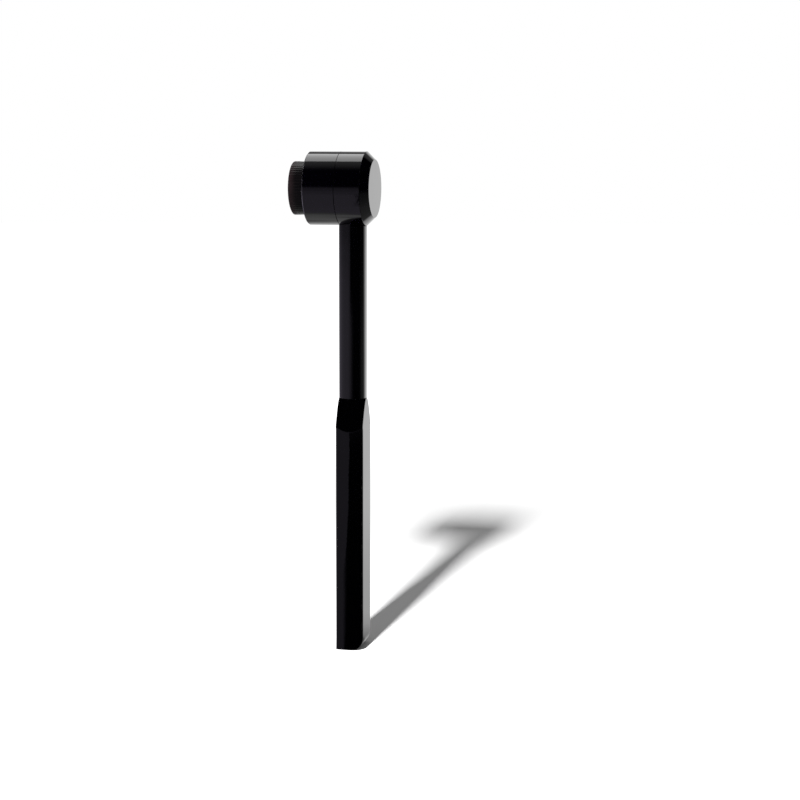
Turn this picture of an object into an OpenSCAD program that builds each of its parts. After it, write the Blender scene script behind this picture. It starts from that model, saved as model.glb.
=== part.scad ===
// Reflex hammer: a cylindrical cross head with one hard chamfered end and one
// ribbed rubber tip, on a round shaft that runs into a flat-sided grip.
// Millimetres. Z runs up the handle from the middle of its butt face at z = 0.
// X runs along the head: +X is the hard end and -X is the rubber tip.

/* [Head] */
// Diameter of the head barrel
head_diameter = 30; // [28:0.5:33]
// Height of the head's axis above the butt face
head_height = 191; // [185:0.5:196]
// Distance from the handle's axis to the hard striking face
hard_face_reach = 9.2; // [8.6:0.1:10]
// Size of the 45 degree chamfer on the hard end
hard_face_chamfer = 3.3; // [2.6:0.1:3.6]
// Distance from the handle's axis to the seam between block and sleeve
seam_reach = 4.5; // [4.4:0.05:4.7]
// Distance from the handle's axis to the open end of the sleeve
sleeve_reach = 17.8; // [17.4:0.1:18.2]

/* [Rubber tip] */
// Distance from the handle's axis to the tip's striking face
tip_reach = 24.55; // [23.8:0.05:25.5]
// Diameter of the tip at its outer edge
tip_diameter = 21.6; // [20.8:0.1:22]
// Number of grip ribs moulded round the tip
tip_ribs = 54; // [40:2:60]
// Depth of the grooves between the ribs
tip_rib_depth = 0.3; // [0.2:0.05:0.4]

/* [Handle] */
// Diameter of the round shaft, also the width across the grip's flats
shaft_diameter = 11.5; // [11:0.1:12.5]
// Height of the joint between shaft and grip
grip_height = 105.5; // [100:0.5:110]
// Depth of the grip, front to back, at its middle
grip_depth = 15.1; // [14.8:0.1:15.6]
// Depth of the grip, front to back, along the edges of its flats
grip_edge_depth = 14.3; // [13.8:0.1:14.6]
// Radius of the rounded edge of the butt, under the hard end
butt_radius = 5.2; // [3:0.1:5.3]

/* [Fits] */
// Radial clearance of the screw threads
thread_clearance = 0.05; // [0.03:0.01:0.08]
// Radial clearance of the shaft in the head and of its curved shoulder
seat_clearance = 0.02; // [0.01:0.01:0.05]

/* [Hidden] */

head_r = head_diameter / 2;
tip_r = tip_diameter / 2;
shaft_r = shaft_diameter / 2;
edge = 0.25;
far = 40;

spigot_r = 10;
spigot_end = seam_reach + 6.5;
thread_pitch = 1;
thread_depth = 0.6;

washer_thickness = 0.85;
washer_r = head_r - 0.8;
sleeve_face = seam_reach + 0.1;
sleeve_step = sleeve_face + washer_thickness;
sleeve_wall = spigot_end + 0.3;
tip_recess_r = tip_r + 0.5;
tip_recess = sleeve_reach - 1.6;

neck_r = 4;
neck_top = head_height + 8;
lock_r = 2.5;
dog_r = 1.4;

stud_r = 3;
stud_flange_r = 7;
bush_r = 5;
tip_seat = tip_recess + 0.6;
tip_foot_r = tip_r - 0.15;
rib_slope = atan((tip_r - tip_foot_r) / (tip_reach - sleeve_reach));

tang_length = 12.5;
insert_r = 4.5;
insert_base = grip_height - 13;
face_radius = (pow(shaft_r, 2) + pow((grip_depth - grip_edge_depth) / 2, 2))
              / (grip_depth - grip_edge_depth);
flare_front = 0.133;
flare_corner = 0.311;
butt_break = 0.4;

// Ring ridges of a screw thread, as [radius, position] points
function ridges(r, start, count) = [
    for (i = [0:count - 1])
        each [
            [r - thread_depth, start + thread_pitch * i],
            [r, start + thread_pitch * (i + 0.35)],
            [r, start + thread_pitch * (i + 0.5)],
            [r - thread_depth, start + thread_pitch * (i + 0.85)]
        ]
];

// A turned shape on the head's axis, from [radius, x] points
module turned(points, facets) {
    translate([0, 0, head_height])
        rotate([0, 90, 0])
            rotate_extrude($fn = facets)
                polygon(points);
}

// A round bar on the head's axis between two x positions
module cross_bar(r, x0, x1, facets) {
    translate([x0, 0, head_height])
        rotate([0, 90, 0])
            cylinder(r = r, h = x1 - x0, $fn = facets);
}

// Hard end of the head: solid block with the socket for the shaft and the
// threaded spigot that carries the sleeve
module striking_block() {
    color([0.04, 0.04, 0.045])
        difference() {
            turned(concat(
                [[0, -spigot_end], [spigot_r - thread_depth, -spigot_end]],
                ridges(spigot_r, -spigot_end + 0.3, 5),
                [
                    [spigot_r - thread_depth, -seam_reach],
                    [head_r - edge, -seam_reach],
                    [head_r, -seam_reach + edge],
                    [head_r, hard_face_reach - hard_face_chamfer],
                    [head_r - hard_face_chamfer, hard_face_reach],
                    [0, hard_face_reach]
                ]), 128);
            translate([0, 0, head_height - head_r - 1])
                cylinder(r = neck_r + seat_clearance, h = head_r + 9.4, $fn = 64);
            cross_bar(lock_r + seat_clearance, -spigot_end - 1, 0, 48);
        }
}

// Front part of the barrel, screwed onto the block's spigot
module barrel_sleeve() {
    color([0.04, 0.04, 0.045])
        turned([
            [head_r - edge, -sleeve_face],
            [washer_r + 0.1, -sleeve_face],
            [washer_r + 0.1, -sleeve_step],
            [spigot_r + thread_clearance, -sleeve_step],
            [spigot_r + thread_clearance, -sleeve_wall],
            [bush_r, -sleeve_wall],
            [bush_r, -tip_recess],
            [tip_recess_r, -tip_recess],
            [tip_recess_r, -sleeve_reach + edge],
            [tip_recess_r + edge, -sleeve_reach],
            [head_r - 0.4, -sleeve_reach],
            [head_r, -sleeve_reach + 0.4],
            [head_r, -sleeve_face - edge]
        ], 128);
}

// Thin ring that seals the seam and takes the pressure of the sleeve
module seam_washer() {
    color([0.06, 0.06, 0.06])
        turned([
            [spigot_r + 0.15, -seam_reach - 0.05],
            [washer_r, -seam_reach - 0.05],
            [washer_r, -seam_reach - washer_thickness],
            [spigot_r + 0.15, -seam_reach - washer_thickness]
        ], 96);
}

// Set screw that locks the shaft's neck in the block
module shaft_lock_screw() {
    color([0.3, 0.3, 0.32])
        difference() {
            turned([
                [0, -spigot_end + 0.4],
                [lock_r - 0.3, -spigot_end + 0.4],
                [lock_r, -spigot_end + 0.7],
                [lock_r, -neck_r - 0.6],
                [dog_r + 0.4, -neck_r - 0.2],
                [dog_r, -neck_r - 0.2],
                [dog_r, -neck_r + 0.5],
                [0, -neck_r + 0.5]
            ], 48);
            translate([-spigot_end, 0, head_height])
                rotate([0, 90, 0])
                    linear_extrude(2.9)
                        polygon([for (a = [0:60:300]) [1.44 * cos(a), 1.44 * sin(a)]]);
        }
}

// Round shaft, with a neck that enters the block, a curved shoulder that fits
// the barrel and a threaded tang below
module shaft() {
    color([0.04, 0.04, 0.045])
        difference() {
            union() {
                difference() {
                    translate([0, 0, grip_height])
                        cylinder(r = shaft_r, h = head_height - grip_height - 5, $fn = 96);
                    cross_bar(head_r + seat_clearance, -far, far, 128);
                }
                rotate_extrude($fn = 64)
                    polygon([
                        [0, head_height - head_r - 2],
                        [neck_r, head_height - head_r - 2],
                        [neck_r, neck_top - 0.6],
                        [neck_r - 0.6, neck_top],
                        [0, neck_top]
                    ]);
                rotate_extrude($fn = 32)
                    polygon(concat(
                        [[0, grip_height - tang_length], [2.2, grip_height - tang_length]],
                        ridges(stud_r, grip_height - tang_length + 0.4, 11),
                        [
                            [stud_r - thread_depth, grip_height + 0.5],
                            [0, grip_height + 0.5]
                        ]));
            }
            cross_bar(dog_r + 0.05, -neck_r - 1, -neck_r + 0.6, 32);
        }
}

// Cross-section of the grip: two flats and two gently rounded faces
module grip_section() {
    intersection() {
        square([shaft_diameter, grip_depth + 2], center = true);
        intersection_for (side = [-1, 1])
            translate([0, side * (grip_depth / 2 - face_radius)])
                circle(r = face_radius, $fn = 360);
    }
}

// Flat-sided grip that flares out from the round end of the shaft
module grip() {
    color([0.035, 0.035, 0.04])
        difference() {
            intersection() {
                linear_extrude(grip_height)
                    grip_section();
                // front and back ramps of the flare
                translate([-far, 0, 0])
                    rotate([90, 0, 90])
                        linear_extrude(2 * far)
                            polygon([
                                [-shaft_r, grip_height],
                                [-shaft_r - flare_front * grip_height, 0],
                                [shaft_r + flare_front * grip_height, 0],
                                [shaft_r, grip_height]
                            ]);
                // cone that blends the corners of the flare into the round shaft
                rotate_extrude($fn = 96)
                    polygon([
                        [0, 0],
                        [shaft_r + flare_corner * 30, 0],
                        [shaft_r + flare_corner * 30, grip_height - 30],
                        [shaft_r, grip_height],
                        [0, grip_height]
                    ]);
                // rounded and square lower edges of the butt
                translate([0, far, 0])
                    rotate([90, 0, 0])
                        linear_extrude(2 * far)
                            union() {
                                translate([-shaft_r, butt_break])
                                    square([shaft_diameter - butt_radius, grip_height]);
                                translate([-shaft_r, butt_radius])
                                    square([shaft_diameter, grip_height]);
                                translate([-shaft_r + butt_break, 0])
                                    square([shaft_diameter - butt_break - butt_radius, grip_height]);
                                translate([-shaft_r + butt_break, butt_break])
                                    circle(r = butt_break, $fn = 32);
                                translate([shaft_r - butt_radius, butt_radius])
                                    circle(r = butt_radius, $fn = 96);
                            }
            }
            translate([0, 0, insert_base])
                cylinder(r = insert_r, h = grip_height, $fn = 64);
            translate([0, 0, insert_base - 1.5])
                cylinder(r = stud_r + 0.3, h = 3, $fn = 48);
        }
}

// Knurled brass insert that takes the shaft's tang
module grip_insert() {
    color([0.75, 0.6, 0.3])
        difference() {
            translate([0, 0, insert_base])
                cylinder(r = insert_r, h = 12.8, $fn = 64);
            translate([0, 0, insert_base - 1])
                cylinder(r = stud_r + seat_clearance, h = 15, $fn = 48);
            for (a = [0:20:340])
                rotate([0, 0, a])
                    translate([insert_r, 0, insert_base + 6.4])
                        rotate([0, 0, 45])
                            cube([0.5, 0.5, 9], center = true);
        }
}

// Soft rubber striking tip, ribbed for the fingers
module striking_tip() {
    color([0.07, 0.06, 0.055])
        difference() {
            turned([
                [0, -tip_reach],
                [tip_r - 1, -tip_reach],
                [tip_r - 0.35, -tip_reach + 0.25],
                [tip_r, -tip_reach + 0.9],
                [tip_foot_r, -sleeve_reach],
                [tip_foot_r, -tip_seat - 0.3],
                [tip_foot_r - 0.3, -tip_seat],
                [0, -tip_seat]
            ], 128);
            for (i = [0:tip_ribs - 1])
                translate([0, 0, head_height])
                    rotate([i * 360 / tip_ribs, 0, 0])
                        translate([-tip_reach, 0, tip_r])
                            rotate([0, rib_slope, 0])
                                translate([5.4, 0, 0])
                                    rotate([45, 0, 0])
                                        cube([10.8, tip_rib_depth * 1.42, tip_rib_depth * 1.42],
                                             center = true);
            turned([
                [0, -tip_seat + 1],
                [stud_r, -tip_seat + 1],
                [stud_r, -tip_seat - 2.2],
                [stud_flange_r, -tip_seat - 2.2],
                [stud_flange_r, -tip_seat - 3.8],
                [0, -tip_seat - 3.8]
            ], 64);
        }
}

// Steel stud with a flange, moulded into the rubber
module tip_stud() {
    color([0.6, 0.6, 0.62])
        turned(concat(
            [
                [0, -tip_seat - 3.8],
                [stud_flange_r, -tip_seat - 3.8],
                [stud_flange_r, -tip_seat - 2.2],
                [stud_r, -tip_seat - 2.2],
                [stud_r, -tip_recess + 0.1]
            ],
            ridges(stud_r, -tip_recess + 0.2, 4),
            [
                [stud_r - thread_depth, -sleeve_wall - 0.5],
                [stud_r - 1, -sleeve_wall - 0.2],
                [0, -sleeve_wall - 0.2]
            ]), 48);
}

// Threaded bush in the sleeve's end wall
module tip_bush() {
    color([0.75, 0.6, 0.3])
        turned([
            [stud_r + thread_clearance, -sleeve_wall],
            [bush_r - 0.2, -sleeve_wall],
            [bush_r, -sleeve_wall - 0.2],
            [bush_r, -tip_recess],
            [stud_r + thread_clearance + 0.3, -tip_recess],
            [stud_r + thread_clearance, -tip_recess + 0.3]
        ], 64);
}

// Fibre washer between the rubber tip and the sleeve
module tip_washer() {
    color([0.25, 0.1, 0.06])
        turned([
            [stud_r + 0.2, -tip_recess - 0.02],
            [9, -tip_recess - 0.02],
            [9, -tip_seat + 0.02],
            [stud_r + 0.2, -tip_seat + 0.02]
        ], 64);
}

striking_block();
barrel_sleeve();
seam_washer();
shaft_lock_screw();
shaft();
grip();
grip_insert();
striking_tip();
tip_stud();
tip_bush();
tip_washer();
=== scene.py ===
import math

import bpy
import numpy as np
from mathutils import Matrix, Vector
from mathutils.kdtree import KDTree


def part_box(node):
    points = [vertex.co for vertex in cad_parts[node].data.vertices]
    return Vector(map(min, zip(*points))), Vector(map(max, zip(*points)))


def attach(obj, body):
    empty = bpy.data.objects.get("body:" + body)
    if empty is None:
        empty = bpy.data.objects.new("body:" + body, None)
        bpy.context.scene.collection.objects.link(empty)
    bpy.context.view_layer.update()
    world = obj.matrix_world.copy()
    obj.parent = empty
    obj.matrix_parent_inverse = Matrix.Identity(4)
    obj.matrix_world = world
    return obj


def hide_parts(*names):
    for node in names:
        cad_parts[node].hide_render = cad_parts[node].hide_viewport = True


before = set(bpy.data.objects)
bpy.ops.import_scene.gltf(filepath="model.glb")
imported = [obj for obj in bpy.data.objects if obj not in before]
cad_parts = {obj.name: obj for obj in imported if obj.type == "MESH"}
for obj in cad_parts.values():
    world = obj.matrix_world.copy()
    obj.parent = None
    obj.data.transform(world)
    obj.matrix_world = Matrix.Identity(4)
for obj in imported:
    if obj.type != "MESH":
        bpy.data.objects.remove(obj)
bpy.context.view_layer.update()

MM = 0.001
TAU = 2 * math.pi

# ---------------------------------------------------------------------------
# Sizes in millimetres, most of them read from the frame
# ---------------------------------------------------------------------------


def box_mm(node):
    lo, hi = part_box(node)
    return np.array(lo) / MM, np.array(hi) / MM


block_lo, block_hi = box_mm("striking_block")
sleeve_lo, sleeve_hi = box_mm("barrel_sleeve")
shaft_lo, shaft_hi = box_mm("shaft")
grip_lo, grip_hi = box_mm("grip")
tip_lo, tip_hi = box_mm("striking_tip")
stud_lo, stud_hi = box_mm("tip_stud")
bush_lo, bush_hi = box_mm("tip_bush")
washer_lo, washer_hi = box_mm("seam_washer")
insert_lo, insert_hi = box_mm("grip_insert")

HEAD_R = (block_hi[2] - block_lo[2]) / 2
HEAD_Z = (block_hi[2] + block_lo[2]) / 2
SHAFT_R = shaft_hi[0]
GRIP_TOP = grip_hi[2]
GRIP_HALF = grip_hi[0]
GRIP_DEPTH = grip_hi[1]
TIP_R = (tip_hi[2] - tip_lo[2]) / 2
SEAM_X = sleeve_hi[0] + 0.1
PITCH = 1.0
NECK_R = 4.0
RIBS = 54
CHAMFER = 3.3
SCREW_R = 2.52

# What a row of an outline belongs to: the lacquered outside, the machined inside, a thread, the tip's ribs,
# the shoulder that fits the barrel, or the shaft just below that shoulder
OUTER, INNER, THREAD, RIBBED, SADDLE, BELOW_SADDLE = range(6)
RIM_HIGHLIGHT = 2.0  # value of the edge attribute on the sleeve's mouth rim, where the lacquer turns to grey metal as a painted highlight line


# ---------------------------------------------------------------------------
# Mesh building
# ---------------------------------------------------------------------------


def rounded(points, closed=False, fine=0.06):
    """Outline with rounded corners. points are (a, b, radius, tag), with the outside on the path's right.
    The rows are a, b, normal a, normal b, tag and edge. edge is 1 in the middle of a convex corner. fine is
    the length of a step round a corner."""
    n = len(points)
    rows = []
    for i, (a, b, radius, tag) in enumerate(points):
        here = np.array([a, b], float)
        before = np.array(points[i - 1][:2], float)
        after = np.array(points[(i + 1) % n][:2], float)
        u0, u1 = here - before, after - here
        l0, l1 = np.hypot(*u0), np.hypot(*u1)
        open_start = i == 0 and not closed
        open_end = i == n - 1 and not closed
        u0, u1 = u0 / max(l0, 1e-9), u1 / max(l1, 1e-9)
        n0, n1 = np.array([u0[1], -u0[0]]), np.array([u1[1], -u1[0]])
        if open_start or open_end or radius <= 0:
            normal = n1 if open_start else n0 if open_end else n0 + n1
            normal = normal / np.hypot(*normal)
            rows.append([a, b, *normal, tag, 0.0])
            continue
        turn = math.atan2(u0[0] * u1[1] - u0[1] * u1[0], u0 @ u1)
        side = 1.0 if turn > 0 else -1.0
        reach = min(radius * abs(math.tan(turn / 2)), 0.48 * l0, 0.48 * l1)
        radius = reach / abs(math.tan(turn / 2))
        centre = here - u0 * reach - side * radius * n0
        steps = int(min(max(abs(turn) * radius / fine, 4), 24))
        for k in range(steps + 1):
            t = k / steps * turn
            c, s = math.cos(t), math.sin(t)
            normal = np.array([n0[0] * c - n0[1] * s, n0[0] * s + n0[1] * c])
            p = centre + side * radius * normal
            edge = math.sin(math.pi * k / steps) if side > 0 else 0.0
            rows.append([*p, *normal, tag, edge])
    return np.array(rows)


def thread_form(u):
    """Height of a rounded 60 degree thread, 0 to 1, over one pitch."""
    ramp = np.abs((u % 1.0) * 2 - 1)
    t = np.clip((ramp - 0.14) / 0.72, 0, 1)
    return t * t * (3 - 2 * t) * 0.35 + t * 0.65


def piece(name, verts, faces, normals=None, auto=None, edge=None, groove=None, tags=None, slots=()):
    """A new mesh object in the row frame. verts are in mm. auto marks the vertices whose normal comes from
    the mesh. edge and groove are stored as attributes for the materials, and tags are the faces' slots."""
    mesh = bpy.data.meshes.new(name)
    mesh.from_pydata((verts * MM).tolist(), [], faces)
    mesh.shade_smooth()
    mesh.update()
    if normals is not None:
        own = np.zeros(len(verts) * 3, np.float32)
        mesh.vertex_normals.foreach_get("vector", own)
        own = own.reshape(-1, 3)
        normals = normals / np.maximum(np.linalg.norm(normals, axis=1, keepdims=True), 1e-9)
        if auto is not None:
            normals = np.where(auto[:, None], own, normals)
        mesh.normals_split_custom_set_from_vertices(normals.tolist())
    for label, values in (("edge", edge), ("groove", groove)):
        layer = mesh.attributes.new(label, "FLOAT", "POINT")
        data = np.zeros(len(verts), np.float32) if values is None else values.astype(np.float32)
        layer.data.foreach_set("value", data)
    obj = bpy.data.objects.new(name, mesh)
    bpy.context.scene.collection.objects.link(obj)
    for material in slots:
        mesh.materials.append(material)
    if tags is not None:
        mesh.polygons.foreach_set("material_index", tags)
    return obj


def sheet_faces(rows, columns, close_rows=False):
    """Quads of a grid whose columns wrap round."""
    last = rows if close_rows else rows - 1
    i, j = np.meshgrid(np.arange(last), np.arange(columns), indexing="ij")
    i, j = i.ravel(), j.ravel()
    i2, j2 = (i + 1) % rows, (j + 1) % columns
    return np.stack([i * columns + j, i2 * columns + j, i2 * columns + j2, i * columns + j2], 1)


def used_only(faces, count):
    """Indices of the vertices that the faces use, out of count, and the faces numbered by them."""
    used = np.unique(np.concatenate([np.array(face) for face in faces]))
    lookup = np.full(count, -1)
    lookup[used] = np.arange(len(used))
    return used, [[int(lookup[v]) for v in face] for face in faces]


def with_thread_rows(outline):
    """The outline with 14 rows for each pitch where it is tagged as a thread."""
    rows = [outline[0]]
    for a, b in zip(outline[:-1], outline[1:]):
        if a[4] == THREAD and b[4] == THREAD:
            count = max(int(abs(b[0] - a[0]) / (PITCH / 14)), 2)
            for k in range(1, count):
                row = a + (b - a) * k / count
                row[5] = 0
                rows.append(row)
        rows.append(b)
    return np.array(rows)


def lathe(name, outline, segments, slots, closed=False, thread=None, upright=False, lift=None, ribs=None):
    """A turned part on the head's axis, or upright on the handle's. outline is what rounded() returns.
    thread is (height, start, end): a right-hand helix on the rows tagged THREAD, outwards on a male part
    and inwards, with a negative height, on a bore. lift moves the shoulder's rows along the axis, by a
    function of radius and angle. ribs gives the depth and shade of the grooves on the RIBBED rows."""
    stations = with_thread_rows(outline)
    x, r, normal_x, normal_r, tag, edge = (column[:, None] for column in stations.T)
    psi = (np.arange(segments) * TAU / segments)[None, :]
    shape = (len(stations), segments)
    x, r = np.broadcast_to(x, shape), np.broadcast_to(r, shape)
    if thread is not None:
        height, start, end = thread
        fade = np.clip((x - min(start, end)) / 0.7, 0, 1) * np.clip((max(start, end) - x) / 0.7, 0, 1)
        form = thread_form(x / PITCH - psi / TAU)
        if height < 0:
            form = 1 - form
        r = np.where(tag == THREAD, r + height * form * fade, r)
    groove = np.zeros(shape)
    if ribs is not None:
        depth, shade = ribs(x, psi, normal_r)
        groove = np.where(tag == RIBBED, shade, 0)
        r = np.where(tag == RIBBED, r - depth, r)
    if lift is not None:
        x = np.where(tag >= SADDLE, x + lift(r, psi), x)
    side_y, side_z = r * np.cos(psi), r * np.sin(psi)
    normal_y, normal_z = normal_r * np.cos(psi), normal_r * np.sin(psi)
    normal_x = np.broadcast_to(normal_x, shape)
    if upright:
        verts = np.stack([side_y, side_z, x], 2)
        normals = np.stack([normal_y, normal_z, normal_x], 2)
    else:
        verts = np.stack([x, side_y, HEAD_Z + side_z], 2)
        normals = np.stack([normal_x, normal_y, normal_z], 2)
    verts, normals = verts.reshape(-1, 3), normals.reshape(-1, 3)

    merged = np.arange(len(verts))
    for row in np.where(stations[:, 1] < 1e-6)[0]:
        merged[row * segments : (row + 1) * segments] = row * segments
    row_tag = tag[:, 0].astype(int)
    next_tag = np.roll(row_tag, -1) if closed else row_tag[1:]
    face_tag = np.repeat(np.maximum(row_tag[: len(next_tag)], next_tag), segments)
    faces, face_slot = [], []
    for quad, kind in zip(merged[sheet_faces(len(stations), segments, closed)], face_tag):
        corners = list(dict.fromkeys(quad.tolist()))
        if len(corners) > 2:
            faces.append(corners)
            face_slot.append(1 if kind in (INNER, THREAD) and len(slots) > 1 else 0)
    used, faces = used_only(faces, len(verts))
    auto = np.broadcast_to(np.isin(tag, (THREAD, RIBBED, SADDLE)), shape).ravel()
    edge = np.broadcast_to(edge, shape).ravel()
    return piece(
        name,
        verts[used],
        faces,
        normals=normals[used],
        auto=auto[used],
        edge=edge[used],
        groove=groove.ravel()[used],
        tags=face_slot,
        slots=slots,
    )


def cut(obj, cutter):
    """Cuts cutter out of obj for good. Faces away from the cut keep their exact normals."""
    before = obj.data
    tree = KDTree(len(before.vertices))
    for v in before.vertices:
        tree.insert(v.co, v.index)
    tree.balance()
    exact = [None] * len(before.vertices)
    for loop, corner in zip(before.loops, before.corner_normals):
        exact[loop.vertex_index] = corner.vector.copy()
    modifier = obj.modifiers.new("cut", "BOOLEAN")
    modifier.operation, modifier.solver, modifier.object = "DIFFERENCE", "EXACT", cutter
    bpy.context.view_layer.update()
    made = bpy.data.meshes.new_from_object(obj.evaluated_get(bpy.context.evaluated_depsgraph_get()))
    obj.modifiers.remove(modifier)
    obj.data = made
    bpy.data.objects.remove(cutter)
    nearest = [tree.find(v.co) for v in made.vertices]
    wanted = [None] * len(made.loops)
    for face in made.polygons:
        for i in face.loop_indices:
            _, index, distance = nearest[made.loops[i].vertex_index]
            fits = distance < 1e-7 and exact[index].dot(face.normal) > 0.7
            wanted[i] = exact[index] if fits else face.normal.copy()
    made.normals_split_custom_set(wanted)


def drill(radius, start, end, axis, segments=96):
    """A round cutter from start to end along the head's axis, x, or the handle's, z, in mm."""
    a = np.arange(segments) * TAU / segments
    rings = []
    for t in (start, end):
        if axis == "z":
            ring = [radius * np.cos(a), radius * np.sin(a), np.full(segments, t)]
        else:
            ring = [np.full(segments, t), radius * np.cos(a), HEAD_Z + radius * np.sin(a)]
        rings.append(np.stack(ring, 1))
    verts = np.concatenate(rings)
    faces = sheet_faces(2, segments).tolist()
    faces += [list(range(segments)), list(range(2 * segments - 1, segments - 1, -1))]
    if axis == "z":
        faces = [f[::-1] for f in faces]
    return piece("cutter", verts, faces)


# ---------------------------------------------------------------------------
# Materials
# ---------------------------------------------------------------------------


class Shader:
    """Builds a material's node tree, in short calls that return output sockets."""

    def __init__(self, name):
        self.material = bpy.data.materials.new(name)
        self.material.use_nodes = True
        self.tree = self.material.node_tree
        self.tree.nodes.clear()
        self.out = self.node("ShaderNodeOutputMaterial")
        self.bsdf = self.node("ShaderNodeBsdfPrincipled")
        self.link(self.bsdf.outputs[0], self.out.inputs["Surface"])
        self.coords = self.node("ShaderNodeTexCoord").outputs["Object"]

    def node(self, kind, **values):
        n = self.tree.nodes.new(kind)
        for k, v in values.items():
            setattr(n, k, v)
        return n

    def link(self, a, b):
        self.tree.links.new(a, b)

    def mapping(self, scale, rotation=(0, 0, 0)):
        n = self.node("ShaderNodeMapping")
        n.inputs["Scale"].default_value = scale
        n.inputs["Rotation"].default_value = rotation
        self.link(self.coords, n.inputs["Vector"])
        return n.outputs[0]

    def noise(self, scale, detail=3.0, rough=0.5, vector=None, distortion=0.0):
        n = self.node("ShaderNodeTexNoise")
        n.inputs["Scale"].default_value = scale
        n.inputs["Detail"].default_value = detail
        n.inputs["Roughness"].default_value = rough
        n.inputs["Distortion"].default_value = distortion
        self.link(vector if vector is not None else self.coords, n.inputs["Vector"])
        return n.outputs["Fac"]

    def cells(self, scale):
        n = self.node("ShaderNodeTexVoronoi")
        n.inputs["Scale"].default_value = scale
        self.link(self.coords, n.inputs["Vector"])
        return n.outputs["Distance"]

    def ramp(self, value, low, high, to_low=0.0, to_high=1.0):
        """Smooth rise from to_low, where value is low, to to_high, where it is high."""
        n = self.node("ShaderNodeMapRange")
        n.interpolation_type = "SMOOTHSTEP"
        n.inputs["From Min"].default_value = low
        n.inputs["From Max"].default_value = high
        n.inputs["To Min"].default_value = to_low
        n.inputs["To Max"].default_value = to_high
        self.link(value, n.inputs["Value"])
        return n.outputs["Result"]

    def calc(self, operation, a, b=0.0):
        n = self.node("ShaderNodeMath", operation=operation)
        for k, v in enumerate((a, b)):
            if isinstance(v, (int, float)):
                n.inputs[k].default_value = v
            else:
                self.link(v, n.inputs[k])
        return n.outputs[0]

    def blend(self, factor, a, b):
        n = self.node("ShaderNodeMix", data_type="RGBA")
        for socket, v in ((n.inputs["Factor"], factor), (n.inputs[6], a), (n.inputs[7], b)):
            if isinstance(v, tuple):
                socket.default_value = (*v, 1.0)
            elif isinstance(v, float):
                socket.default_value = v
            else:
                self.link(v, socket)
        return n.outputs[2]

    def attribute(self, name):
        n = self.node("ShaderNodeAttribute", attribute_type="GEOMETRY")
        n.attribute_name = name
        return n.outputs["Fac"]

    def bump(self, height, strength, distance, after=None):
        n = self.node("ShaderNodeBump")
        n.inputs["Strength"].default_value = strength
        n.inputs["Distance"].default_value = distance
        self.link(height, n.inputs["Height"])
        if after is not None:
            self.link(after, n.inputs["Normal"])
        return n.outputs[0]

    def set(self, **values):
        """Sets or links the surface's inputs, and returns the finished material."""
        names = {
            "color": "Base Color",
            "rough": "Roughness",
            "metal": "Metallic",
            "normal": "Normal",
            "ior": "IOR",
            "anisotropic": "Anisotropic",
        }
        for k, v in values.items():
            socket = self.bsdf.inputs[names[k]]
            if isinstance(v, (int, float)):
                socket.default_value = v
            else:
                self.link(v, socket)
        return self.material


def lacquer(name, grain_axis, base=(0.0001, 0.0001, 0.00015), rough=0.03, ior=1.5, seed=0.0):
    """Black gloss lacquer: slight orange peel, faint polishing marks along grain_axis, smears, dust and
    worn edges. Where the edge attribute reaches its top value, on the sleeve's mouth rim, the lacquer turns
    to grey metal, a painted highlight line. seed shifts the patterns."""
    s = Shader(name)
    shift = s.node("ShaderNodeMapping")
    shift.inputs["Location"].default_value = (seed, seed * 0.7, -seed)
    s.link(s.coords, shift.inputs["Vector"])
    s.coords = shift.outputs[0]
    stretch = {"x": (60.0, 2600.0, 2600.0), "z": (2600.0, 2600.0, 60.0)}[grain_axis]
    marks = s.noise(1.0, 2.0, 0.6, s.mapping(stretch))
    smear = s.ramp(s.noise(38.0, 4.0, 0.62, distortion=0.6), 0.52, 0.74)
    dust = s.ramp(s.cells(5200.0), 0.0, 0.10, 1.0, 0.0)
    dust_zone = s.ramp(s.noise(90.0, 2.0), 0.55, 0.75)
    dust = s.calc("MULTIPLY", dust, dust_zone)
    # Grey metal where the edge attribute is at its top value: a painted highlight line on the sleeve's
    # mouth rim.
    rim_highlight_metal = s.ramp(s.attribute("edge"), 0.65 * RIM_HIGHLIGHT, 0.9 * RIM_HIGHLIGHT)
    edge = s.calc("MULTIPLY", s.attribute("edge"), s.ramp(s.noise(420.0, 5.0, 0.7), 0.47, 0.72))
    tone = s.ramp(s.noise(24.0, 3.0), 0.3, 0.7)
    color = s.blend(tone, base, tuple(c * 1.7 for c in base))
    color = s.blend(s.calc("MULTIPLY", dust, 0.02), color, (0.10, 0.098, 0.09))
    color = s.blend(s.calc("MULTIPLY", edge, 0.3), color, (0.02, 0.0195, 0.019))
    color = s.blend(rim_highlight_metal, color, (0.24, 0.24, 0.25))
    r = s.calc("ADD", rough, s.calc("MULTIPLY", s.calc("SUBTRACT", marks, 0.5), 0.02))
    r = s.calc("ADD", r, s.calc("MULTIPLY", rim_highlight_metal, 0.3))
    r = s.calc("ADD", r, s.calc("MULTIPLY", smear, 0.035))
    r = s.calc("ADD", r, s.calc("MULTIPLY", edge, 0.18))
    peel = s.bump(s.noise(950.0, 2.0, 0.45), 0.045, 0.00012)
    wave = s.bump(s.noise(110.0, 2.0, 0.4), 0.05, 0.0006, peel)
    lines = s.bump(marks, 0.035, 0.00003, wave)
    return s.set(color=color, rough=r, metal=rim_highlight_metal, normal=lines, ior=ior)


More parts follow.
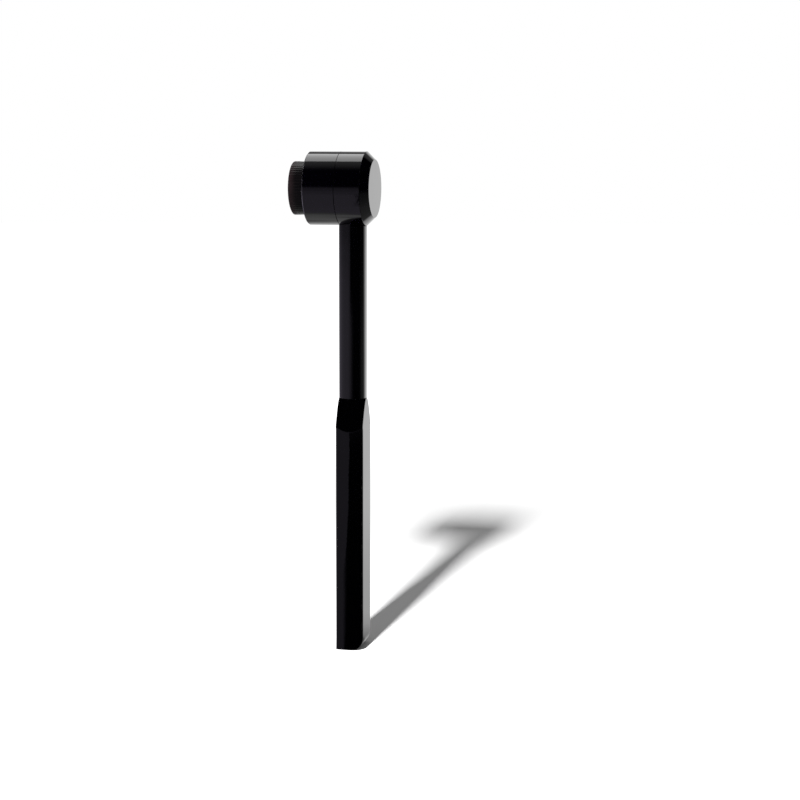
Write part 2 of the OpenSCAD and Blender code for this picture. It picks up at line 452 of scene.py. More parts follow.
def machined(name, color, tarnish, rough=0.3, metal=1.0, axis="x"):
    """Turned metal: fine tool marks round the axis, with tarnish in patches."""
    s = Shader(name)
    split = s.node("ShaderNodeSeparateXYZ")
    s.link(s.coords, split.inputs[0])
    along = split.outputs["X" if axis == "x" else "Z"]
    rings = s.node("ShaderNodeTexNoise", noise_dimensions="1D")
    rings.inputs["Scale"].default_value = 5200.0
    rings.inputs["Detail"].default_value = 3.0
    s.link(along, rings.inputs["W"])
    tool = rings.outputs["Fac"]
    patch = s.ramp(s.noise(260.0, 5.0, 0.65), 0.5, 0.76)
    fine = s.noise(2400.0, 4.0, 0.6)
    tint = s.blend(s.ramp(fine, 0.3, 0.7), tuple(c * 0.82 for c in color), color)
    tint = s.blend(s.calc("MULTIPLY", patch, 0.45), tint, tarnish)
    r = s.calc("ADD", rough, s.calc("MULTIPLY", s.calc("SUBTRACT", tool, 0.5), 0.22))
    r = s.calc("ADD", r, s.calc("MULTIPLY", patch, 0.14))
    n = s.bump(tool, 0.16, 0.00004)
    n = s.bump(fine, 0.08, 0.00003, n)
    return s.set(color=tint, metal=metal, rough=r, normal=n, anisotropic=0.3)


def rubber(name):
    """Moulded rubber, nearly black with a wine-brown tinge of its own. Towards the outer end it is painted
    lighter and browner, a painted sheen, and by the sleeve nearly black, a painted shade; the outer rounded
    edge is lighter still, a painted sheen. It has a fine grain, faint bloom in the grooves, and a few pale
    specks."""
    s = Shader(name)
    groove, edge = s.attribute("groove"), s.attribute("edge")
    split = s.node("ShaderNodeSeparateXYZ")
    s.link(s.coords, split.inputs[0])
    cloud = s.noise(150.0, 5.0, 0.6)
    grain = s.noise(5200.0, 3.0, 0.65)
    pits = s.ramp(s.cells(3400.0), 0.0, 0.32)
    # Lighter and browner towards the outer end, nearly black by the sleeve: painted sheen at the end and
    # painted shade by the sleeve.
    reach = s.calc("ADD", split.outputs["X"], s.calc("MULTIPLY", s.calc("SUBTRACT", cloud, 0.5), 0.0012))
    end = tip_lo[0] * MM
    outer = s.ramp(reach, end + 0.0034, end + 0.0002)
    base = s.blend(outer, (0.0011, 0.0010, 0.0012), (0.0085, 0.0054, 0.0060))
    base = s.blend(s.ramp(cloud, 0.35, 0.7, 0.0, 0.35), base, (0.0022, 0.0017, 0.0018))
    bloom = s.calc("MULTIPLY", groove, s.ramp(s.noise(320.0, 4.0, 0.6), 0.35, 0.75, 0.2, 1.0))
    base = s.blend(s.calc("MULTIPLY", bloom, 0.2), base, (0.007, 0.0055, 0.0055))
    # Lighter on the outer rounded edge: a painted sheen.
    painted_edge_sheen = s.calc("MULTIPLY", edge, s.ramp(s.noise(520.0, 4.0, 0.6), 0.4, 0.7))
    base = s.blend(s.calc("MULTIPLY", painted_edge_sheen, 0.4), base, (0.016, 0.012, 0.0125))
    speck = s.ramp(s.cells(2100.0), 0.0, 0.06, 1.0, 0.0)
    base = s.blend(s.calc("MULTIPLY", speck, 0.05), base, (0.12, 0.11, 0.10))
    r = s.ramp(grain, 0.3, 0.7, 0.2, 0.28)
    r = s.calc("ADD", r, s.calc("MULTIPLY", bloom, 0.15))
    n = s.bump(grain, 0.12, 0.00004)
    n = s.bump(pits, 0.05, 0.00003, n)
    n = s.bump(s.noise(420.0, 3.0), 0.06, 0.00015, n)
    return s.set(color=base, rough=r, normal=n, ior=1.16)


def fibre(name, dark, light):
    """Pressed fibre: short hairs in a dense mat."""
    s = Shader(name)
    hairs = s.noise(1.0, 5.0, 0.7, s.mapping((900.0, 5200.0, 2600.0), (0.3, 0.6, 0.2)), 1.2)
    cloud = s.noise(420.0, 4.0, 0.6)
    base = s.blend(s.ramp(hairs, 0.35, 0.7), dark, light)
    base = s.blend(s.ramp(cloud, 0.45, 0.75, 0.0, 0.5), base, tuple(c * 0.55 for c in dark))
    n = s.bump(hairs, 0.35, 0.00008)
    n = s.bump(s.noise(3600.0, 3.0), 0.2, 0.00005, n)
    return s.set(color=base, rough=s.ramp(hairs, 0.3, 0.7, 0.7, 0.92), normal=n)


head_lacquer = lacquer("head_lacquer", "x", base=(0.00009, 0.00006, 0.0002), seed=0.31)
sleeve_lacquer = lacquer("sleeve_lacquer", "x", base=(0.00009, 0.00006, 0.0002), seed=0.87)
shaft_lacquer = lacquer("shaft_lacquer", "z", seed=1.43)
grip_polish = lacquer("grip_polish", "z", base=(0.00006, 0.00006, 0.0001), rough=0.035, ior=1.37, seed=2.09)
blackened = machined("blackened_steel", (0.085, 0.085, 0.09), (0.03, 0.027, 0.025), rough=0.34, metal=0.9)
zinc = machined("zinc_steel", (0.62, 0.63, 0.65), (0.42, 0.4, 0.34))
BRASS, BRASS_TARNISH = (0.78, 0.56, 0.24), (0.34, 0.2, 0.08)
brass = machined("turned_brass", BRASS, BRASS_TARNISH, rough=0.26)
brass_upright = machined("turned_brass_upright", BRASS, BRASS_TARNISH, rough=0.28, axis="z")
screw_steel = machined("screw_steel", (0.2, 0.2, 0.215), (0.08, 0.07, 0.065), rough=0.32)
tip_rubber = rubber("tip_rubber")
black_fibre = fibre("black_fibre", (0.018, 0.018, 0.018), (0.05, 0.05, 0.05))
red_fibre = fibre("red_fibre", (0.20, 0.055, 0.03), (0.42, 0.15, 0.08))


# ---------------------------------------------------------------------------
# Head: block, sleeve, rubber tip, stud and bush
# ---------------------------------------------------------------------------

CREST, ROOT = 9.98, 9.42  # outer and inner radius of the thread between block and sleeve
SHANK, SHANK_ROOT = 2.98, 2.44  # the same for the stud and the shaft's tang
PLAY = 0.07  # room round each thread
spigot_x, face_x = block_lo[0], block_hi[0]

block_outline = rounded(
    [
        (face_x, 0.0, 0, OUTER),
        (face_x, HEAD_R - CHAMFER, 0.25, OUTER),
        (face_x - CHAMFER, HEAD_R, 0.3, OUTER),
        (SEAM_X, HEAD_R, 0.08, OUTER),
        (SEAM_X, ROOT, 0.15, INNER),
        (SEAM_X - 0.8, ROOT, 0, THREAD),
        (spigot_x + 0.5, ROOT, 0, THREAD),
        (spigot_x, ROOT - 0.4, 0.1, INNER),
        (spigot_x, SCREW_R, 0.2, INNER),
        (0.2 - NECK_R, SCREW_R, 0, INNER),
        (0.2 - NECK_R, 0.0, 0, INNER),
    ]
)
block = lathe(
    "striking_block_turned",
    block_outline,
    224,
    (head_lacquer, blackened),
    thread=(CREST - ROOT, spigot_x + 0.5, SEAM_X - 0.8),
)
neck_socket = drill(NECK_R + 0.02, HEAD_Z - HEAD_R - 2, shaft_hi[2] + 0.4, "z")
cut(block, neck_socket)

mouth_x, rear_x = sleeve_lo[0], sleeve_hi[0]
recess_x, wall_x = bush_lo[0], bush_hi[0]
step_x = washer_lo[0] - 0.1
recess_r = TIP_R + 0.5
RIM = 0.42  # the small chamfer round the sleeve's mouth
sleeve_outline = rounded(
    [
        ((mouth_x + rear_x) / 2, HEAD_R, 0, OUTER),
        (mouth_x + RIM, HEAD_R, 0.1, OUTER),
        (mouth_x, HEAD_R - RIM, 0.1, OUTER),
        (mouth_x, recess_r, 0.2, OUTER),
        (recess_x, recess_r, 0.15, INNER),
        (recess_x, bush_hi[1], 0.05, INNER),
        (wall_x, bush_hi[1], 0.05, INNER),
        (wall_x, CREST + PLAY, 0.2, INNER),
        (wall_x + 0.25, CREST + PLAY, 0, THREAD),
        (step_x - 0.25, CREST + PLAY, 0, THREAD),
        (step_x, CREST + PLAY, 0.12, INNER),
        (step_x, washer_hi[1] + 0.1, 0.1, INNER),
        (rear_x, washer_hi[1] + 0.1, 0.08, INNER),
        (rear_x, HEAD_R, 0.14, OUTER),
    ],
    closed=True,
)
# The chamfer round the sleeve's mouth gets the edge attribute's top value, so its lacquer turns to grey
# metal: a painted highlight line.
row_x, row_r = sleeve_outline[:, 0], sleeve_outline[:, 1]
on_rim_x = (row_x > mouth_x + 0.001) & (row_x < mouth_x + RIM + 0.1)
on_rim_r = (row_r > HEAD_R - RIM - 0.1) & (row_r < HEAD_R - 0.001)
sleeve_outline[on_rim_x & on_rim_r, 5] = RIM_HIGHLIGHT
sleeve = lathe(
    "barrel_sleeve_turned",
    sleeve_outline,
    224,
    (sleeve_lacquer, blackened),
    closed=True,
    thread=(ROOT - CREST, wall_x + 0.25, step_x - 0.25),
)


def tip_ribs(x, psi, facing):
    """Depth and shade of the grooves round the rubber tip, which are deepest near its end. facing is the
    outward part of the outline's normal, so the end face has no grooves."""
    rib = TAU / RIBS
    across = ((psi / rib + 0.5) % 1.0 - 0.5) * rib * TIP_R
    number = np.floor(psi / rib + 0.5)
    uneven = 1 + 0.22 * np.sin(number * 2.39) + 0.12 * np.sin(number * 5.1 + 1)
    wide = np.exp(-((across / 0.24) ** 2))
    outer = 1 - np.clip((x - tip_lo[0] - 0.5) / 1.4, 0, 1)
    fade = np.clip(facing, 0, 1) * np.clip((tip_hi[0] - 0.25 - x) / 0.5, 0, 1)
    crown = 0.08
    return fade * (uneven * (0.04 + 0.17 * outer) * wide - crown), wide * fade


foot_r = TIP_R - 0.15
hole_r = SHANK + 0.04
flange_x, neck_x = stud_lo[0], stud_lo[0] + 1.6
DIMPLE_R, DIMPLE = 1.4, 0.16  # radius and depth of the moulding dimple in the tip's end face
tip_outline = rounded(
    [
        (flange_x, 0.0, 0, INNER),
        (flange_x, stud_hi[1], 0.1, INNER),
        (neck_x, stud_hi[1], 0.1, INNER),
        (neck_x, hole_r, 0.05, INNER),
        (tip_hi[0], hole_r, 0.15, INNER),
        (tip_hi[0], foot_r - 0.1, 0.25, INNER),
        (tip_hi[0] - 0.3, foot_r, 0.1, RIBBED),
        (-17.8, foot_r, 0, RIBBED),
        (-20.0, foot_r + 0.05, 0, RIBBED),
        (-22.4, TIP_R - 0.01, 0, RIBBED),
        (tip_lo[0], TIP_R, 0.5, RIBBED),
        (tip_lo[0], DIMPLE_R, 0.2, RIBBED),
        (tip_lo[0] + 0.12, DIMPLE_R - 0.4, 0.2, RIBBED),
        (tip_lo[0] + DIMPLE, 0.0, 0, RIBBED),
    ],
    fine=0.09,
)
tip = lathe("striking_tip_moulded", tip_outline, RIBS * 14, (tip_rubber,), ribs=tip_ribs)

stud_outline = rounded(
    [
        (stud_hi[0], 0.0, 0, INNER),
        (stud_hi[0], SHANK_ROOT - 0.5, 0.1, INNER),
        (stud_hi[0] - 0.45, SHANK_ROOT, 0.1, INNER),
        (stud_hi[0] - 0.5, SHANK_ROOT, 0, THREAD),
        (recess_x + 0.3, SHANK_ROOT, 0, THREAD),
        (recess_x + 0.2, SHANK_ROOT, 0.1, INNER),
        (recess_x, SHANK, 0.15, INNER),
        (neck_x, SHANK, 0.2, INNER),
        (neck_x, stud_hi[1] - 0.02, 0.2, INNER),
        (flange_x + 0.02, stud_hi[1] - 0.02, 0.2, INNER),
        (flange_x + 0.02, 0.0, 0, INNER),
    ]
)
stud = lathe(
    "tip_stud_rolled",
    stud_outline,
    96,
    (zinc,),
    thread=(SHANK - SHANK_ROOT, recess_x + 0.3, stud_hi[0] - 0.5),
)

bush_outline = rounded(
    [
        ((recess_x + wall_x) / 2, bush_hi[1] - 0.01, 0, INNER),
        (recess_x + 0.01, bush_hi[1] - 0.01, 0.08, INNER),
        (recess_x + 0.01, SHANK + PLAY + 0.3, 0.05, INNER),
        (recess_x + 0.31, SHANK + PLAY, 0, THREAD),
        (wall_x - 0.2, SHANK + PLAY, 0, THREAD),
        (wall_x - 0.01, SHANK + PLAY + 0.15, 0.05, INNER),
        (wall_x - 0.01, bush_hi[1] - 0.15, 0.05, INNER),
        (wall_x - 0.16, bush_hi[1] - 0.01, 0.05, INNER),
    ],
    closed=True,
)
bush = lathe(
    "tip_bush_turned",
    bush_outline,
    96,
    (brass,),
    closed=True,
    thread=(SHANK_ROOT - SHANK, recess_x + 0.31, wall_x - 0.2),
)


# ---------------------------------------------------------------------------
# Handle: shaft and grip
# ---------------------------------------------------------------------------

SHOULDER = HEAD_R + 0.05  # radius of the hollow at the shaft's top, which fits round the barrel


def saddle(r, angle):
    """Height of the shoulder that fits the barrel, over its height at the sides."""
    y = r * np.sin(angle)
    return SHOULDER - np.sqrt(SHOULDER**2 - y**2)


shoulder_z = HEAD_Z - SHOULDER
shaft_outline = rounded(
    [
        (shaft_hi[2], 0.0, 0, INNER),
        (shaft_hi[2], NECK_R - 0.6, 0.1, INNER),
        (shaft_hi[2] - 0.6, NECK_R, 0.1, INNER),
        (shoulder_z + 2.5, NECK_R, 0, INNER),
        (shoulder_z, NECK_R, 0, SADDLE),
        (shoulder_z, SHAFT_R, 0.12, SADDLE),
        (shoulder_z - 0.2, SHAFT_R, 0, BELOW_SADDLE),
        (shoulder_z - 3.0, SHAFT_R, 0, OUTER),
        (GRIP_TOP, SHAFT_R, 0.07, OUTER),
        (GRIP_TOP, SHANK_ROOT, 0.1, INNER),
        (GRIP_TOP - 0.5, SHANK_ROOT, 0, THREAD),
        (shaft_lo[2] + 0.5, SHANK_ROOT, 0, THREAD),
        (shaft_lo[2], SHANK_ROOT - 0.5, 0.1, INNER),
        (shaft_lo[2], 0.0, 0, INNER),
    ]
)
shaft = lathe(
    "shaft_turned",
    shaft_outline,
    192,
    (shaft_lacquer, blackened),
    thread=(SHANK - SHANK_ROOT, shaft_lo[2] + 0.5, GRIP_TOP - 0.5),
    upright=True,
    lift=saddle,
)
screw_dimple = drill(1.45, -NECK_R - 1, -NECK_R + 0.6, "x", 32)
cut(shaft, screw_dimple)

EDGE_DEPTH = 7.25  # half the width of the flats
BUTT_R = 5.2  # rounding of the butt under the hard end
BUTT_BREAK = 0.4  # rounding of the butt under the tip
FLARE_FRONT, FLARE_CORNER = 0.133, 0.311  # how fast the flare's front and corners widen downwards
bulge = GRIP_DEPTH - EDGE_DEPTH
ARC_R = (GRIP_HALF**2 + bulge**2) / (2 * bulge)


def soft_max(a, b, width):
    """The larger of two distances, with the edge between them rounded over width, and how near it is."""
    h = np.maximum(width - np.abs(a - b), 0) / np.maximum(width, 1e-9)
    return np.maximum(a, b) + h * h * width / 4, h


def round_corner(dx, dz, radius):
    """Distance to a corner of that radius between two square faces."""
    ax, az = np.maximum(dx + radius, 0), np.maximum(dz + radius, 0)
    return np.hypot(ax, az) + np.minimum(np.maximum(dx, dz) + radius, 0) - radius


def grip_distance(x, y, z):
    """Distance to the grip's outside, negative within, and how near a point is to the flats' long edges."""
    down = GRIP_TOP - z
    around = np.hypot(x, y)
    arc = np.hypot(x, np.abs(y) + ARC_R - GRIP_DEPTH) - ARC_R
    ramp = (np.abs(y) - SHAFT_R - FLARE_FRONT * down) / math.hypot(1, FLARE_FRONT)
    cone = (around - SHAFT_R - FLARE_CORNER * down) / math.hypot(1, FLARE_CORNER)
    face, _ = soft_max(arc, ramp, 0.02)
    lean = np.abs(y) / np.maximum(around, 1e-6)
    face, _ = soft_max(face, cone, 0.02 + 0.9 * np.clip(0.97 - lean, 0, 1))
    hard = round_corner(x - GRIP_HALF, -z, BUTT_R)
    soft = round_corner(-x - GRIP_HALF, -z, BUTT_BREAK)
    side = np.maximum(hard, soft)
    upright = np.clip((z - 0.3) / 6.0, 0, 1) ** 0.5
    square = np.clip(1.02 - np.abs(x) / np.maximum(around, 1e-6) * (down < 12), 0.03, 1)
    return soft_max(side, face, (0.4 + 0.45 * upright) * square)


def grip_ring(angles, z):
    """Points, normals and edge values of the grip's outside at one height, found by bisection."""
    c, s = np.cos(angles), np.sin(angles)
    lo, hi = np.zeros_like(angles), np.full_like(angles, 14.0)
    for _ in range(44):
        mid = (lo + hi) / 2
        inside = grip_distance(mid * c, mid * s, z)[0] < 0
        lo, hi = np.where(inside, mid, lo), np.where(inside, hi, mid)
    x, y, h = lo * c, lo * s, 1e-3
    slope = [
        grip_distance(x + dx, y + dy, z + dz)[0] - grip_distance(x - dx, y - dy, z - dz)[0]
        for dx, dy, dz in ((h, 0, 0), (0, h, 0), (0, 0, h))
    ]
    return np.stack([x, y, np.full_like(x, z)], 1), np.stack(slope, 1), grip_distance(x, y, z)[1]


def grip_angles(columns):
    """Angles round the grip, crowded at its four long edges."""
    corner = math.atan2(EDGE_DEPTH, GRIP_HALF)
    fine = np.linspace(0, TAU, 7201)
    crowd = np.ones_like(fine)
    for centre in (corner, math.pi - corner, math.pi + corner, TAU - corner):
        crowd += 4.0 * np.exp(-(((fine - centre) / 0.10) ** 2))
    total = np.concatenate([[0], np.cumsum((crowd[1:] + crowd[:-1]) / 2)])
    return np.interp(np.arange(columns) / columns * total[-1], total, fine)


def face_area(corners):
    """Twice the area at a face's first corner, measured on both sides."""
    from_first = corners - corners[0]
    one = np.linalg.norm(np.cross(from_first[1], from_first[2]))
    return one + np.linalg.norm(np.cross(from_first[-1], from_first[-2]))


def build_grip():
    """The grip's butt, outside and top, and the bore in its top for the insert and the shaft's tang."""
    columns = 480
    angles = grip_angles(columns)
    down, up = np.array([0, 0, -1.0]), np.array([0, 0, 1.0])
    rings, normals, edges = [], [], []

    def add(ring, normal, edge=0.0):
        rings.append(ring)
        normals.append(np.broadcast_to(normal, (columns, 3)))
        edges.append(np.broadcast_to(edge, columns))

    heights = [BUTT_R * (1 - math.cos(math.radians(a))) for a in range(3, 90, 3)]
    heights += [BUTT_R, 8, 14, 24, 36, 48, 60, 72, 82, 88]
    heights += list(np.arange(90, GRIP_TOP - 0.05, 0.2))
    lowest, _, _ = grip_ring(angles, heights[0])
    for scale in (0.0, 0.5, 0.985):
        add(lowest * [scale, scale, 0], down)
    for z in heights:
        add(*grip_ring(angles, z))

    circle = np.stack([np.cos(angles), np.sin(angles), np.zeros(columns)], 1)
    top_r = SHAFT_R - 0.005
    add(circle * top_r + [0, 0, GRIP_TOP - 0.07], circle + [0, 0, FLARE_CORNER * 0.5], 0.3)
    add(circle * (top_r - 0.05) + [0, 0, GRIP_TOP - 0.012], circle + up, 0.6)
    bore, relief = insert_hi[0] + 0.01, 3.3
    bore_z, relief_z = insert_lo[2] - 0.01, insert_lo[2] - 1.5
    for r, z, normal in (
        (top_r - 0.12, GRIP_TOP - 0.005, up),
        (bore, GRIP_TOP - 0.005, up),
        (bore, GRIP_TOP - 0.005, -circle),
        (bore, bore_z, -circle),
        (bore, bore_z, up),
        (relief, bore_z, up),
        (relief, bore_z, -circle),
        (relief, relief_z, -circle),
        (relief, relief_z, up),
        (0.0, relief_z, up),
    ):
        add(circle * r + [0, 0, z], normal)

    verts = np.concatenate(rings)
    merged = np.arange(len(verts))
    merged[:columns] = 0
    merged[-columns:] = len(verts) - columns
    faces = []
    for quad in merged[sheet_faces(len(rings), columns)[:, ::-1]]:
        corners = list(dict.fromkeys(quad.tolist()))
        if len(corners) > 2 and face_area(verts[corners]) > 1e-9:
            faces.append(corners)
    used, faces = used_only(faces, len(verts))
    return piece(
        "grip_moulded",
        verts[used],
        faces,
        normals=np.concatenate(normals)[used],
        edge=np.concatenate(edges)[used],
        slots=(grip_polish,),
    )


grip = build_grip()

for made, node, body, slot in (
    (block, "striking_block", "handle_and_block", "head_black"),
    (shaft, "shaft", "handle_and_block", "shaft_black"),
    (grip, "grip", "handle_and_block", "grip_black"),
    (sleeve, "barrel_sleeve", "sleeve", "sleeve_black"),
    (bush, "tip_bush", "sleeve", "bush_brass"),
    (tip, "striking_tip", "tip", "tip_rubber"),
    (stud, "tip_stud", "tip", "stud_steel"),
):
    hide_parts(node)
    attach(made, body)

for node, material in (
    ("seam_washer", black_fibre),
    ("shaft_lock_screw", screw_steel),
    ("grip_insert", brass_upright),
    ("tip_washer", red_fibre),
):
    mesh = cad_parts[node].data
    mesh.materials.clear()
    mesh.materials.append(material)
    mesh.polygons.foreach_set("material_index", [0] * len(mesh.polygons))

# ---------------------------------------------------------------------------
# Studio: floor, backdrop, lights, and cards that only reflections show. In metres
# ---------------------------------------------------------------------------

HEAD_HEIGHT = HEAD_Z * MM
DRUM_R = 1.3
FLOOR_R = 4.0
DOME_R = 6.0
OVERHEAD_Z = 1.2
FRONT_CARD_R = 0.3
COOL = np.array([1.02, 0.93, 1.16])  # tint of the dim light from the front and the left


def stage_mesh(name, verts, faces, material, camera=False, diffuse=False, glossy=False, shadow=False):
    """A mesh that isn't part of the object, seen only by the given kinds of ray."""
    mesh = bpy.data.meshes.new(name)
    mesh.from_pydata([tuple(v) for v in verts], [], faces)
    mesh.shade_smooth()
    obj = bpy.data.objects.new(name, mesh)
    bpy.context.scene.collection.objects.link(obj)
    mesh.materials.append(material)
    obj.visible_camera = camera
    obj.visible_diffuse = diffuse
    obj.visible_glossy = glossy
    obj.visible_transmission = False
    obj.visible_volume_scatter = False
    obj.visible_shadow = shadow
    return obj


def glow_material(name, attribute=None):
    """A surface that gives white light of strength 1, or the light stored in a colour attribute."""
    material = bpy.data.materials.new(name)
    material.use_nodes = True
    nodes, links = material.node_tree.nodes, material.node_tree.links
    nodes.clear()
    out = nodes.new("ShaderNodeOutputMaterial")
    emit = nodes.new("ShaderNodeEmission")
    emit.inputs["Color"].default_value = (1.0, 1.0, 1.0, 1.0)
    emit.inputs["Strength"].default_value = 1.0
    links.new(emit.outputs[0], out.inputs["Surface"])
    if attribute:
        layer = nodes.new("ShaderNodeAttribute")
        layer.attribute_type = "GEOMETRY"
        layer.attribute_name = attribute
        links.new(layer.outputs["Color"], emit.inputs["Color"])
    material.cycles.emission_sampling = "NONE"
    return material


def card(name, verts, faces, light):
    """A glowing sheet that only glossy rays see. light is a colour for each vertex."""
    obj = stage_mesh(name, verts, faces, glow_material(f"{name}_glow", "glow"), glossy=True)
    layer = obj.data.attributes.new("glow", "FLOAT_COLOR", "POINT")
    rgba = np.hstack([light, np.ones((len(light), 1))])
    layer.data.foreach_set("color", rgba.astype(np.float32).ravel())


def open_sheet(rows, columns):
    """Quads of a rectangular grid of vertices, row by row."""
    return [
        (j * columns + i, j * columns + i + 1, (j + 1) * columns + i + 1, (j + 1) * columns + i)
        for j in range(rows - 1)
        for i in range(columns - 1)
    ]


def step(a, b, v):
    """Smooth rise from 0 at a to 1 at b."""
    t = np.clip((v - a) / (b - a), 0, 1)
    return t * t * (3 - 2 * t)


def window(v, rise, full, fall, gone):
    """0 up to rise, 1 from full to fall, and 0 again from gone."""
    return step(rise, full, v) * (1 - step(fall, gone, v))


def elevation(z, reach):
    """Angle above the head's height, in degrees."""
    return np.degrees(np.arctan2(z - HEAD_HEIGHT, reach))


def drum_light(x, y, z):
    """Light of the drum and its floor. Azimuth 0 is the front, 90 the hard end's side and -90 the tip's.
    The back is bright, with a brighter pool to its right. The floor on the left, the floor under the head
    and a strip in front are dim, the right is dimmer, and the rest is black."""
    az = np.degrees(np.arctan2(x, -y))
    az_back = np.where(az < -140, az + 360, az)
    reach = np.hypot(x, y)
    el = elevation(z, reach)
    on_floor = z < 0.001

    # The drum's floor is dim at the foot and brightens over the first few centimetres: a painted shadow of
    # the object, seen only in reflections.
    floor_rise = 0.52 + 0.62 * step(0.01, 0.055, reach) + 0.36 * step(0.06, 0.34, reach)
    floor_rise = floor_rise - 0.13 * step(0.7, 1.1, reach)
    back = floor_rise * window(az_back, 136, 150, 192, 226) * (1 - 0.86 * step(21, 28, el))
    pool = 2.7 * window(az_back, 104, 130, 146, 168) * (1 - step(-6, 4, el))
    pool = pool * step(0.45, 0.75, reach)
    right = 0.21 * window(az, 62, 98, 150, 160) * (1 - step(-12, -2, el))
    foot = 0.75 * (1 - step(0.08, 0.17, reach)) * step(-0.07, 0.0, y)
    foot = foot * (1 - step(-0.04, -0.034, x)) * on_floor

    shade_line = 0.0057 - 0.2359 * np.hypot(y + 0.014, HEAD_HEIGHT - 0.005)
    left_of_line = 1 - step(-0.0015, 0.0015, x - shade_line)
    beside_grip = (1 - step(-20.5, -14.5, az)) * (reach < 0.2)
    near = 0.33 * np.where(y < 0, np.maximum(left_of_line, beside_grip), 1.0)
    far = 0.37 * (1 - np.where(on_floor, step(-35, 20, az), step(-30, -2, az)))
    left = near + (far - near) * step(0.5, 0.8, reach)
    left = left * step(-165, -105, az) * (az < 90) * (1 - step(-8, 1, el))
    front = 0.2 * window(az, -20, -17, -12.5, -11) * (1 - step(-4.5, -2.5, el)) * ~on_floor

    neutral = np.maximum.reduce([back + pool, right, foot])
    return np.maximum(neutral[:, None], np.maximum(left, front)[:, None] * COOL)


def drum():
    """A drum round the object, with a floor. Its columns are close where the barrel's dark edge lies."""
    turns = np.concatenate([np.arange(-180, -34, 2), np.arange(-34, -6, 0.35), np.arange(-6, 180, 2)])
    turns = np.radians(turns)
    radii = (0.0001, *np.arange(0.02, 0.4, 0.02), *np.arange(0.42, DRUM_R, 0.04), DRUM_R)
    heights = (0.04, 0.09, 0.14, 0.19, 0.24, 0.3, 0.38, 0.48, 0.6, 0.75, 0.9, 1.1, 1.3)
    rings = [(r, -0.0005) for r in radii] + [(DRUM_R, z) for z in heights]
    verts = np.array([(r * math.sin(a), -r * math.cos(a), z) for r, z in rings for a in turns])
    card("surround", verts, sheet_faces(len(rings), len(turns)).tolist(), drum_light(*verts.T))


def overhead():
    """A large softbox over and behind the object, with a faint spill towards the front."""
    across = np.linspace(-0.95, 0.5, 25)
    front, middle = np.linspace(-0.7, -0.05, 10), np.linspace(0.0, 0.1, 9)
    along = np.concatenate([front, middle, np.linspace(0.14, 1.12, 24)])
    verts = np.array([(x, y, OVERHEAD_Z) for y in along for x in across])
    x, y = verts[:, 0], verts[:, 1]
    light = 3.2 * window(y, 0.02, 0.08, 0.86, 1.12) + 0.32 * step(-0.66, 0.02, y)
    light = light * window(x, -0.95, -0.8, 0.3, 0.5)
    card("overhead", verts, open_sheet(len(along), len(across)), np.repeat(light[:, None], 3, 1))


def front_card():
    """A small dim card in front of the head, so near that only the barrel reflects it."""
    turns, heights = np.linspace(-24, -8, 17), np.linspace(0.163, 0.263, 21)
    az, z = (values.ravel() for values in np.meshgrid(turns, heights))
    a = np.radians(az)
    verts = np.stack([FRONT_CARD_R * np.sin(a), -FRONT_CARD_R * np.cos(a), z], 1)
    light = 0.2 * (1 - step(-2, 9, elevation(z, FRONT_CARD_R))) * window(az, -24, -20, -11, -9.5)
    card("front_card", verts, open_sheet(len(heights), len(turns)), light[:, None] * COOL)


def paper_material():
    """White paper with a faint grain. It glows more with distance, so the floor's edge doesn't show."""
    material = bpy.data.materials.new("floor_paper")
    material.use_nodes = True
    nodes, links = material.node_tree.nodes, material.node_tree.links
    paper = nodes["Principled BSDF"]
    paper.inputs["Roughness"].default_value = 1.0
    paper.inputs["Specular IOR Level"].default_value = 0.0
    paper.inputs["Emission Color"].default_value = (1.0, 1.0, 1.0, 1.0)
    grain = nodes.new("ShaderNodeTexNoise")
    grain.inputs["Scale"].default_value = 40.0
    tint = nodes.new("ShaderNodeMapRange")
    tint.inputs["To Min"].default_value = 0.892
    tint.inputs["To Max"].default_value = 0.908
    links.new(grain.outputs["Fac"], tint.inputs["Value"])
    links.new(tint.outputs["Result"], paper.inputs["Base Color"])
    place = nodes.new("ShaderNodeTexCoord")
    distance = nodes.new("ShaderNodeVectorMath")
    distance.operation = "LENGTH"
    links.new(place.outputs["Object"], distance.inputs[0])
    glow = nodes.new("ShaderNodeMapRange")
    glow.interpolation_type = "SMOOTHSTEP"
    glow.inputs["From Min"].default_value = 0.24
    glow.inputs["From Max"].default_value = 0.7
    links.new(distance.outputs["Value"], glow.inputs["Value"])
    links.new(glow.outputs["Result"], paper.inputs["Emission Strength"])
    material.cycles.emission_sampling = "NONE"
    return material


def floor():
    """A round sheet of paper that the object stands on. Reflections show the drum's floor instead."""
    corners = 96
    a = np.arange(corners) * TAU / corners
    verts = np.stack([FLOOR_R * np.sin(a), -FLOOR_R * np.cos(a), np.zeros(corners)], 1)
    paper = paper_material()
    stage_mesh("floor", verts, [list(range(corners))], paper, camera=True, diffuse=True, shadow=True)


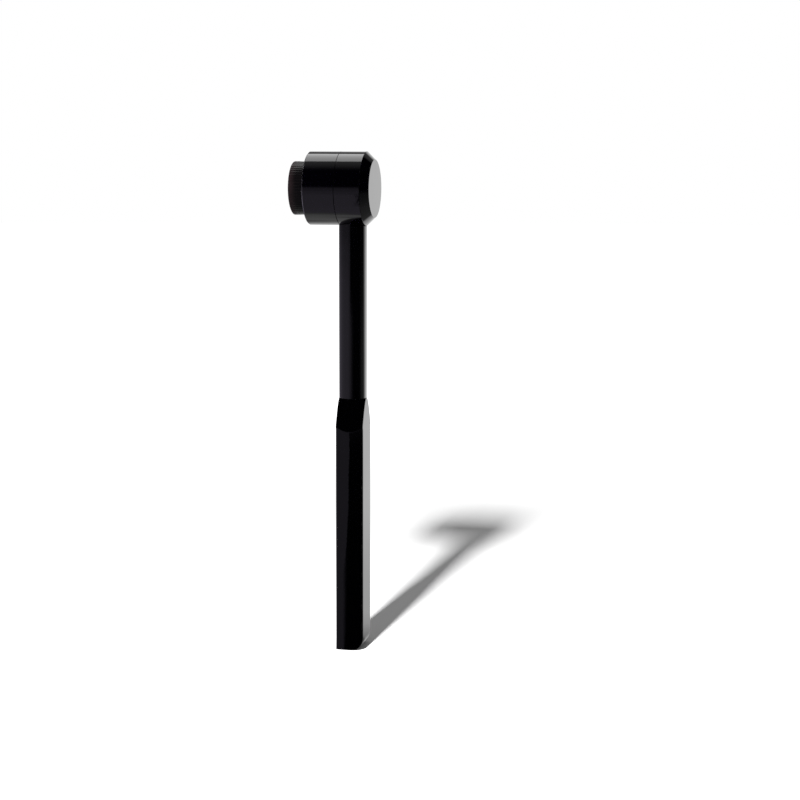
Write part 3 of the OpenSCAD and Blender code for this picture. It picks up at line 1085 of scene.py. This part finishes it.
def backdrop():
    """A white dome that only the camera sees, from 60 degrees below the horizon to the top."""
    rows, columns = 25, 48
    rises, turns = np.linspace(-60, 90, rows), np.arange(columns) * 360 / columns
    rise, turn = (np.radians(a).ravel() for a in np.meshgrid(rises, turns, indexing="ij"))
    verts = DOME_R * np.stack([np.cos(rise) * np.cos(turn), np.cos(rise) * np.sin(turn), np.sin(rise)], 1)
    faces = sheet_faces(rows, columns).tolist()
    stage_mesh("backdrop", verts, faces, glow_material("backdrop_glow"), camera=True)


def fill_light(scene):
    """Even light from all round, which only matt surfaces take."""
    world = bpy.data.worlds.new("studio")
    scene.world = world
    world.use_nodes = True
    background = world.node_tree.nodes["Background"]
    background.inputs["Color"].default_value = (1.0, 1.0, 1.0, 1.0)
    background.inputs["Strength"].default_value = 0.24
    world.cycles_visibility.camera = False
    world.cycles_visibility.glossy = False


def key_light(scene):
    """A small softbox above the front, which throws the shadow to the back. Reflections don't show it."""
    data = bpy.data.lights.new("key", "AREA")
    data.shape = "RECTANGLE"
    data.size = 0.052
    data.size_y = 0.11
    data.energy = 19.5
    key = bpy.data.objects.new("key", data)
    scene.collection.objects.link(key)
    key.location = (-0.047, -0.639, 0.70)
    key.visible_glossy = False
    key.rotation_mode = "QUATERNION"
    key.rotation_quaternion = Vector(key.location).to_track_quat("Z", "Y")


scene = bpy.context.scene
drum()
overhead()
front_card()
floor()
backdrop()
fill_light(scene)
key_light(scene)

# ---------------------------------------------------------------------------
# Camera, at the photo's viewing angle
# ---------------------------------------------------------------------------

YAW = math.radians(11.915)
PITCH_DOWN = math.radians(8.145)
ROLL = math.radians(0.171)
CAMERA_PLACE = (0.170645, -0.715143, 0.209579)

level = Vector((math.cos(YAW), math.sin(YAW), 0.0))
ahead = Vector((-math.sin(YAW), math.cos(YAW), 0.0))
forward = ahead * math.cos(PITCH_DOWN) - Vector((0.0, 0.0, math.sin(PITCH_DOWN)))
above = level.cross(forward)
right = level * math.cos(ROLL) + above * math.sin(ROLL)
above = above * math.cos(ROLL) - level * math.sin(ROLL)
turn = Matrix((right, above, -forward)).transposed()

camera_data = bpy.data.cameras.new("camera")
camera_data.lens = 81.0
camera_data.sensor_width = 36.0
camera_data.clip_start = 0.05
camera_data.clip_end = 100.0
camera = bpy.data.objects.new("camera", camera_data)
scene.collection.objects.link(camera)
camera.matrix_world = Matrix.Translation(CAMERA_PLACE) @ turn.to_4x4()
scene.camera = camera
scene.view_settings.view_transform = "Standard"

bpy.context.view_layer.update()
